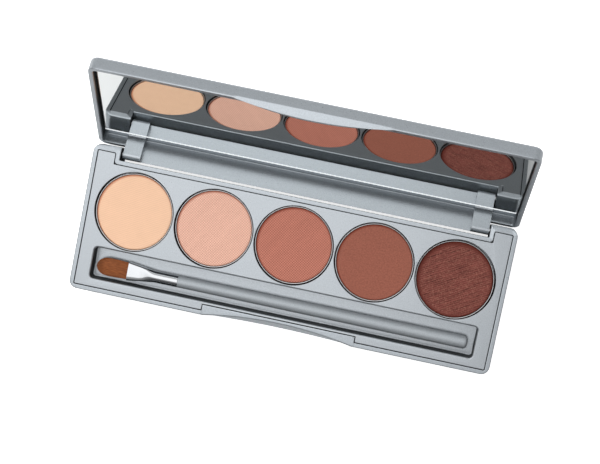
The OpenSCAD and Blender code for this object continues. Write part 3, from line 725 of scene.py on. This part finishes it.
stations = lid_stations()
profiles = {"wall": wall_profile(), "sheet": sheet_profile(), "knuckle": knuckle_profile()}
lid_rings = []
for a in turn_steps(6):
    inward = LID_ROUND * (1 - math.sin(a))
    height = LID_TOP_Z - LID_ROUND * (1 - math.cos(a))
    lid_rings.append([Vector((p.x + n.x * inward, p.y + n.y * inward, height))
                      for p, n, kind in stations])
edges = [tab_profile(p.x) if kind == "tab" else profiles[kind] for p, n, kind in stations]
for points in zip(*edges):
    lid_rings.append([Vector((p.x + n.x * depth, p.y + n.y * depth, z))
                      for (p, n, kind), (depth, z) in zip(stations, points)])
for a in turn_steps(4):
    cove_y = INNER_BACK - COVE_R * (1 - math.cos(a))
    cove_z = CEILING_Z - COVE_R * (1 - math.sin(a))
    loop = []
    for p, n, kind in stations:
        depth = HALF_D - KNUCKLE_Y if kind == "knuckle" else LID_WALL
        x, y = p.x + n.x * depth, p.y + n.y * depth
        if kind == "knuckle":
            y -= KNUCKLE_FILLET * (1 - math.cos(a))
            z = CEILING_Z - KNUCKLE_FILLET * (1 - math.sin(a))
        elif y > cove_y:
            y, z = cove_y, cove_z
        else:
            reach = max(0.0, y - (INNER_BACK - COVE_R))
            z = CEILING_Z - COVE_R + math.sqrt(max(0.0, COVE_R ** 2 - reach ** 2))
        loop.append(Vector((x, y, z)))
    lid_rings.append(loop)
lid_mesh = bmesh.new()
skin(lid_mesh, lid_rings, start=True, end=True)
lid_mesh.normal_update()
# The inner end walls up by the ceiling get the painted shade.
for face in lid_mesh.faces:
    middle = face.calc_center_median() / MM
    on_end_wall = HALF_W - LID_WALL - 0.02 < abs(middle.x) < HALF_W - 1.2
    if looks_sideways(face) and on_end_wall and middle.z > LID_SHADE_Z:
        face.material_index = 1
bmesh.ops.transform(lid_mesh, matrix=hinge_turn, verts=lid_mesh.verts)
finish_piece("lid_tray", lid_mesh, [case_paint, crevice_shade], "lid", "lid_shell")


# ---- Mirror --------------------------------------------------------------------------------
# Silvered glass, ground and finely bevelled on its edges, stuck into the lid with a thin adhesive
# film. A strip of the edge by the hinge glows a little, a painted highlight for the light it
# catches.
MIRROR_X = 69.05
MIRROR_FRONT = -22.55
MIRROR_BACK = 18.4
MIRROR_Z = 12.8
MIRROR_T = 1.1
MIRROR_R = 0.5
MIRROR_BEVEL = 0.06
GLOW_W = 0.8  # the strip of the edge that glows, a painted highlight

glow_from = MIRROR_BACK - GLOW_W
whole_edge = box_outline(-MIRROR_X, MIRROR_FRONT, MIRROR_X, MIRROR_BACK, MIRROR_R, 5)
silver_edge = box_outline(-MIRROR_X, MIRROR_FRONT, MIRROR_X, glow_from, MIRROR_R, 5)
mirror_mesh = bmesh.new()
skin(mirror_mesh, [ring(whole_edge, MIRROR_Z + MIRROR_T, 0.02),
                   ring(whole_edge, MIRROR_Z + MIRROR_T - 0.05),
                   ring(whole_edge, MIRROR_Z + MIRROR_BEVEL),
                   ring(whole_edge, MIRROR_Z, MIRROR_BEVEL),
                   ring(silver_edge, MIRROR_Z, MIRROR_BEVEL)],
     start=True, end=True, second_strips=range(4))
# The strip by the hinge gets the glowing copy of the edge's finish, a painted highlight.
for face in mirror_mesh.faces:
    middle = face.calc_center_median()
    if middle.y > glow_from * MM and middle.z < (MIRROR_Z + 0.1) * MM:
        face.material_index = 2
bmesh.ops.transform(mirror_mesh, matrix=hinge_turn, verts=mirror_mesh.verts)

silvering, silvering_tree, silvering_shader = new_material("silvered_glass")
haze_place = add(silvering_tree, "ShaderNodeTexCoord").outputs["Object"]
haze = add(silvering_tree, "ShaderNodeTexNoise", Vector=haze_place, Scale=60.0, Detail=4.0)
vary_roughness(silvering_tree, silvering_shader, haze, 0.0, 0.02)
silvering_shader.inputs["Base Color"].default_value = (0.78, 0.80, 0.80, 1)
silvering_shader.inputs["Metallic"].default_value = 1.0

ground, ground_tree, ground_shader = new_material("ground_glass_edge")
ground_place = add(ground_tree, "ShaderNodeTexCoord").outputs["Object"]
ground_grain = add(ground_tree, "ShaderNodeTexNoise", Vector=ground_place, Scale=5000.0,
                   Detail=2.0)
ground_bump = add(ground_tree, "ShaderNodeBump", Height=ground_grain.outputs["Fac"], Strength=0.4,
                  Distance=0.00003)
ground_tree.links.new(ground_bump.outputs["Normal"], ground_shader.inputs["Normal"])
ground_shader.inputs["Base Color"].default_value = (0.86, 0.90, 0.90, 1)
ground_shader.inputs["Roughness"].default_value = 0.3
# The ground edge's finish with an emission added: the painted highlight.
painted_edge_glow = ground.copy()
painted_edge_glow.name = "painted_highlight_edge"
painted_edge_glow_shader = painted_edge_glow.node_tree.nodes["Principled BSDF"]
painted_edge_glow_shader.inputs["Emission Color"].default_value = (0.93, 0.97, 1.0, 1)
painted_edge_glow_shader.inputs["Emission Strength"].default_value = 0.6
finish_piece("mirror_glass", mirror_mesh, [silvering, ground, painted_edge_glow], "lid", "mirror",
             sharp=20, smooth_by_area=False)

film, film_tree, film_shader = new_material("adhesive_film")
film_noise = add(film_tree, "ShaderNodeTexNoise", Scale=1500.0)
vary_roughness(film_tree, film_shader, film_noise, 0.5, 0.8)
film_shader.inputs["Base Color"].default_value = (0.15, 0.165, 0.175, 1)
dress("mirror_tape", film)


# ---- Brush ---------------------------------------------------------------------------------
# Slim turned handle in silver lacquer, a polished metal ferrule crimped flat at its front, and a
# flat bundle of soft fibres glued into it. It lies loose in its slot.
BRUSH_X = -63.5
BRUSH_Y = -15.7
BRUSH_Z = 7.33
BRISTLE_L = 10.8
FERRULE_L = 17.0
CRIMP_L = 4.7
TAPER_L = 4.5
HANDLE_L = 98.0
HANDLE_R1 = 1.925
HANDLE_R2 = 2.15
HANDLE_ROUND = 1.3
HANDLE_LIP = 0.12
SHANK_L = 6.0  # the thin end that is glued inside the ferrule
SHANK_PLAY = 0.03
FERRULE_R = 1.95
FLAT_HALF_W = 3.13
FLAT_HALF_T = 1.33
FLAT_SQUARENESS = 5.0
WAIST_HALF_W = 2.45
PINCH_T = 0.10  # the groove rolled round the ferrule behind the crimp
PINCH_AT = 0.86
PINCH_W = 0.07
METAL_T = 0.25
ROOT_HALF_W = 2.85
BELLY_HALF_W = 3.14
BELLY_AT = 0.62
CORE_RINGS = 24
CORE_FROM = -0.33
CORE_SPAN = 1.24
CORE_TIP = 0.93
FIBRES = 1800
FIBRE_POINTS = 8
FIBRE_SIDES = (0.5, 2.6, 4.7)
FIBRE_SWAY = 0.10


def oval(along, half_w, half_t, squareness=2.0, steps=64):
    """Ring across the brush: an ellipse, or a flatter oval as squareness grows."""
    loop = []
    for i in range(steps):
        t = 2 * math.pi * i / steps
        c, s = math.cos(t), math.sin(t)
        y = half_w * math.copysign(abs(c) ** (2 / squareness), c)
        z = half_t * math.copysign(abs(s) ** (2 / squareness), s)
        loop.append(Vector((BRUSH_X + along, BRUSH_Y + y, BRUSH_Z + z)))
    return loop


handle_start = BRISTLE_L + FERRULE_L
shank_r = FERRULE_R - METAL_T - SHANK_PLAY
stops = [(handle_start - SHANK_L, shank_r), (handle_start - 0.02, shank_r),
         (handle_start, HANDLE_R1 - HANDLE_LIP), (handle_start + HANDLE_LIP, HANDLE_R1)]
stops += [(handle_start + (HANDLE_L - HANDLE_ROUND) * k / 24,
           HANDLE_R1 + (HANDLE_R2 - HANDLE_R1) * k / 24) for k in range(1, 25)]
stops += [(handle_start + HANDLE_L - HANDLE_ROUND * (1 - math.sin(a)),
           HANDLE_R2 - HANDLE_ROUND * (1 - math.cos(a))) for a in turn_steps(8)[1:]]
handle_mesh = bmesh.new()
skin(handle_mesh, [oval(along, r, r) for along, r in stops], start=True, end=True)
handle_paint = silver_lacquer("handle_lacquer", (0.315, 0.34, 0.362), 0.5, flake=0.4)
finish_piece("brush_stick", handle_mesh, [handle_paint], "brush", "brush_handle",
             smooth_by_area=False)

shape = []
for k in range(9):
    s = k / 8
    width = FLAT_HALF_W + (WAIST_HALF_W - FLAT_HALF_W) * s
    pinch = PINCH_T * math.exp(-((s - PINCH_AT) / PINCH_W) ** 2)
    shape.append((BRISTLE_L + CRIMP_L * s, width, FLAT_HALF_T - pinch, FLAT_SQUARENESS))
for k in range(1, 9):
    s = k / 8
    ease_in = s * s * (3 - 2 * s)
    shape.append((BRISTLE_L + CRIMP_L + TAPER_L * s,
                  WAIST_HALF_W + (FERRULE_R - WAIST_HALF_W) * s,
                  FLAT_HALF_T + (FERRULE_R - FLAT_HALF_T) * ease_in,
                  2.0 + (FLAT_SQUARENESS - 2.0) * (1 - s) ** 2))
round_from = BRISTLE_L + CRIMP_L + TAPER_L
for k in range(1, 13):
    along = round_from + (handle_start - round_from) * k / 12
    shape.append((along, FERRULE_R, FERRULE_R, 2.0))
outer = [oval(*s) for s in shape]
inner = [oval(along, w - METAL_T, t - METAL_T, q) for along, w, t, q in reversed(shape)]
ferrule_mesh = bmesh.new()
skin(ferrule_mesh, outer + inner + outer[:1])
chrome, chrome_tree, chrome_shader = new_material("polished_ferrule")
chrome_place = add(chrome_tree, "ShaderNodeTexCoord").outputs["Object"]
chrome_wear = add(chrome_tree, "ShaderNodeTexNoise", Vector=chrome_place, Scale=1200.0,
                  Detail=3.0)
vary_roughness(chrome_tree, chrome_shader, chrome_wear, 0.03, 0.14)
chrome_shader.inputs["Base Color"].default_value = (0.43, 0.44, 0.455, 1)
chrome_shader.inputs["Metallic"].default_value = 1.0
finish_piece("brush_collar", ferrule_mesh, [chrome], "brush", "brush_ferrule",
             smooth_by_area=False)


def bundle_width(s):
    """Half the bundle's width at s, from 0 at the ferrule to 1 at the tip, fullest at BELLY_AT."""
    swell = math.sin(0.5 * math.pi * min(1.0, s / BELLY_AT))
    return ROOT_HALF_W + (BELLY_HALF_W - ROOT_HALF_W) * swell


def fibre_reach(across):
    """Where a fibre ends: the tip is cut to a half oval, so fibres at the sides are shorter."""
    return BELLY_AT + (1 - BELLY_AT) * math.sqrt(max(0.0, 1 - across ** 2))


# A plain core fills the bundle, so that no light falls through between the fibres.
random.seed(7)
bristle_mesh = bmesh.new()
core_rings = []
for k in range(CORE_RINGS):
    s = CORE_FROM + CORE_SPAN * k / (CORE_RINGS - 1)
    past_belly = max(0.0, (s - BELLY_AT) / (CORE_TIP - BELLY_AT))
    taper = math.sqrt(max(0.0, 1 - past_belly ** 2))
    half_w = 0.9 * bundle_width(max(0.0, s)) * max(0.06, taper)
    if s < 0:
        half_w = WAIST_HALF_W - METAL_T - 0.05
    half_t = (0.95 - 0.4 * max(0.0, s)) * max(0.1, taper)
    core_rings.append(oval(BRISTLE_L * (1 - s), half_w, half_t))
skin(bristle_mesh, core_rings, start=True, end=True)
for _ in range(FIBRES):
    turn = random.uniform(0, 2 * math.pi)
    spread = random.random() ** 0.4
    across, above = spread * math.cos(turn), spread * math.sin(turn)
    reach = fibre_reach(across) * random.uniform(0.93, 1.0)
    thick = random.uniform(0.04, 0.07)
    sway = random.uniform(-FIBRE_SWAY, FIBRE_SWAY)
    last = None
    for k in range(FIBRE_POINTS):
        share = k / (FIBRE_POINTS - 1)
        s = -0.05 + (reach + 0.05) * share
        half_w = bundle_width(max(0.0, s)) - 0.07
        half_t = 1.0 - 0.55 * max(0.0, s)
        r = thick * (1 - 0.8 * share ** 2)
        x = BRUSH_X + BRISTLE_L * (1 - s)
        y = BRUSH_Y + half_w * across + sway * max(0.0, s) * (1 - abs(across))
        z = BRUSH_Z + half_t * above
        loop = [bristle_mesh.verts.new(
            Vector((x, y + r * math.cos(q), z + r * math.sin(q))) * MM) for q in FIBRE_SIDES]
        if last:
            for i in range(3):
                j = (i + 1) % 3
                bristle_mesh.faces.new((last[i], last[j], loop[j], loop[i]))
        else:
            bristle_mesh.faces.new(loop)
        last = loop
    bristle_mesh.faces.new(list(reversed(last)))

fibre, fibre_tree, fibre_shader = new_material("soft_fibre")
fibre_place = add(fibre_tree, "ShaderNodeTexCoord").outputs["Object"]
fibre_lines = add(fibre_tree, "ShaderNodeMapping", Vector=fibre_place, Scale=(0.04, 1.0, 1.0))
fibre_noise = add(fibre_tree, "ShaderNodeTexNoise", Vector=fibre_lines.outputs["Vector"],
                  Scale=9000.0, Detail=2.0)
fibre_color = add(fibre_tree, "ShaderNodeValToRGB", Fac=fibre_noise.outputs["Fac"])
fibre_color.color_ramp.elements[0].position = 0.3
fibre_color.color_ramp.elements[0].color = (0.105, 0.028, 0.008, 1)
fibre_color.color_ramp.elements[1].position = 0.72
fibre_color.color_ramp.elements[1].color = (0.27, 0.085, 0.026, 1)
fibre_tree.links.new(fibre_color.outputs["Color"], fibre_shader.inputs["Base Color"])
fibre_shader.inputs["Roughness"].default_value = 0.6
fibre_shader.inputs["Specular IOR Level"].default_value = 0.2
finish_piece("brush_fibres", bristle_mesh, [fibre], "brush", "brush_bristles",
             smooth_by_area=False)


# ---- Studio --------------------------------------------------------------------------------
# White floor and white surround, a large soft lamp overhead to the left and a smaller, brighter
# one behind it on the left, which casts the shadows. The room is light behind the palette and dim
# in front of it, which gives the metal its darker side.
FLOOR_SIZE = 6.0  # metres, as are the lamps' places and sizes
FLOOR_GLOW = 0.8
FLOOR_IN_GLOSS = 0.02

bpy.ops.mesh.primitive_plane_add(size=FLOOR_SIZE)
floor = bpy.context.object
floor.name = "floor"
white, white_tree, white_shader = new_material("white_floor")
white_shader.inputs["Base Color"].default_value = (0.8, 0.8, 0.8, 1)
white_shader.inputs["Roughness"].default_value = 0.9
white_shader.inputs["Specular IOR Level"].default_value = 0.1
path = add(white_tree, "ShaderNodeLightPath")
reflected = add(white_tree, "ShaderNodeMath", {"operation": "MULTIPLY"},
                i0=path.outputs["Is Glossy Ray"], i1=FLOOR_IN_GLOSS)
seen = add(white_tree, "ShaderNodeMath", {"operation": "MAXIMUM"},
           i0=path.outputs["Is Camera Ray"], i1=reflected.outputs[0])
glow = add(white_tree, "ShaderNodeEmission", Color=(1, 1, 1, 1))
glow_strength = add(white_tree, "ShaderNodeMath", {"operation": "MULTIPLY"}, i0=seen.outputs[0],
                    i1=FLOOR_GLOW)
white_tree.links.new(glow_strength.outputs[0], glow.inputs["Strength"])
both = add(white_tree, "ShaderNodeAddShader", i0=white_shader.outputs["BSDF"],
           i1=glow.outputs["Emission"])
white_tree.links.new(both.outputs["Shader"], white_tree.nodes["Material Output"].inputs["Surface"])
floor.data.materials.append(white)


def softbox(name, place, aim, width, depth, radiance):
    """A rectangular soft lamp at place that faces aim, as bright as radiance over its front."""
    lamp = bpy.data.lights.new(name, "AREA")
    lamp.shape = "RECTANGLE"
    lamp.size = width
    lamp.size_y = depth
    lamp.energy = radiance * math.pi * width * depth
    box = bpy.data.objects.new(name, lamp)
    box.location = place
    box.rotation_euler = (Vector(place) - Vector(aim)).to_track_quat("Z", "Y").to_euler()
    bpy.context.scene.collection.objects.link(box)
    return box


softbox("overhead_softbox", place=(-0.255, 0.165, 0.60), aim=(-0.255, 0.165, 0.0),
        width=0.69, depth=0.67, radiance=1.28)
key = softbox("key_softbox", place=(-0.55, 0.45, 0.75), aim=(0.0, 0.0, 0.0),
              width=0.45, depth=0.45, radiance=10.2)
key.visible_glossy = False

world = bpy.data.worlds.new("studio")
bpy.context.scene.world = world
world.use_nodes = True
room = world.node_tree
background = room.nodes["Background"]
toward = add(room, "ShaderNodeTexCoord").outputs["Generated"]
split = add(room, "ShaderNodeSeparateXYZ", Vector=toward)


def wall_levels(stops):
    """How bright the room is by height: grey levels from the horizon up to straight overhead."""
    dome = add(room, "ShaderNodeValToRGB", Fac=split.outputs["Z"])
    ramp = dome.color_ramp.elements
    ramp[0].position, ramp[0].color = stops[0][0], (stops[0][1],) * 3 + (1,)
    ramp[1].position, ramp[1].color = stops[-1][0], (stops[-1][1],) * 3 + (1,)
    for place, level in stops[1:-1]:
        ramp.new(place).color = (level, level, level, 1)
    return dome.outputs["Color"]


behind = wall_levels([(0.0, 0.8), (0.25, 0.7), (0.5, 0.84), (0.7, 0.85), (1.0, 0.9)])
in_front = wall_levels([(0.0, 0.6), (0.15, 0.3), (0.3, 0.12), (0.65, 0.12), (0.85, 0.4),
                        (1.0, 0.9)])
facing = add(room, "ShaderNodeMapRange", Value=split.outputs["Y"], From_Min=-0.35, From_Max=0.25)
around = add(room, "ShaderNodeMix", {"data_type": "RGBA"}, Factor=facing.outputs["Result"])
room.links.new(in_front, around.inputs["A"])
room.links.new(behind, around.inputs["B"])
room_path = add(room, "ShaderNodeLightPath")
shown = add(room, "ShaderNodeMix", {"data_type": "RGBA"},
            Factor=room_path.outputs["Is Camera Ray"])
room.links.new(around.outputs["Result"], shown.inputs["A"])
shown.inputs["B"].default_value = (1, 1, 1, 1)
room.links.new(shown.outputs["Result"], background.inputs["Color"])


# ---- Camera --------------------------------------------------------------------------------
# A long lens that looks down on the open palette from about half a metre above, turned a little
# so that the case lies aslant.
CAMERA_AT = (33.5, 74.9, 546.8)
FOCAL_LENGTH = 99.09
SENSOR_W = 36.0

lens = bpy.data.cameras.new("camera")
lens.sensor_width = SENSOR_W
lens.lens = FOCAL_LENGTH
camera = bpy.data.objects.new("camera", lens)
forward = Vector((-0.05966, -0.12112, -0.99081)).normalized()
right = Vector((0.9771, 0.1963, -0.0824))
right = (right - forward * right.dot(forward)).normalized()
up = right.cross(forward)
turn = Matrix((right, up, -forward)).transposed().to_4x4()
camera.matrix_world = Matrix.Translation(Vector(CAMERA_AT) * MM) @ turn
bpy.context.scene.collection.objects.link(camera)
bpy.context.scene.camera = camera
bpy.context.scene.view_settings.view_transform = "Standard"
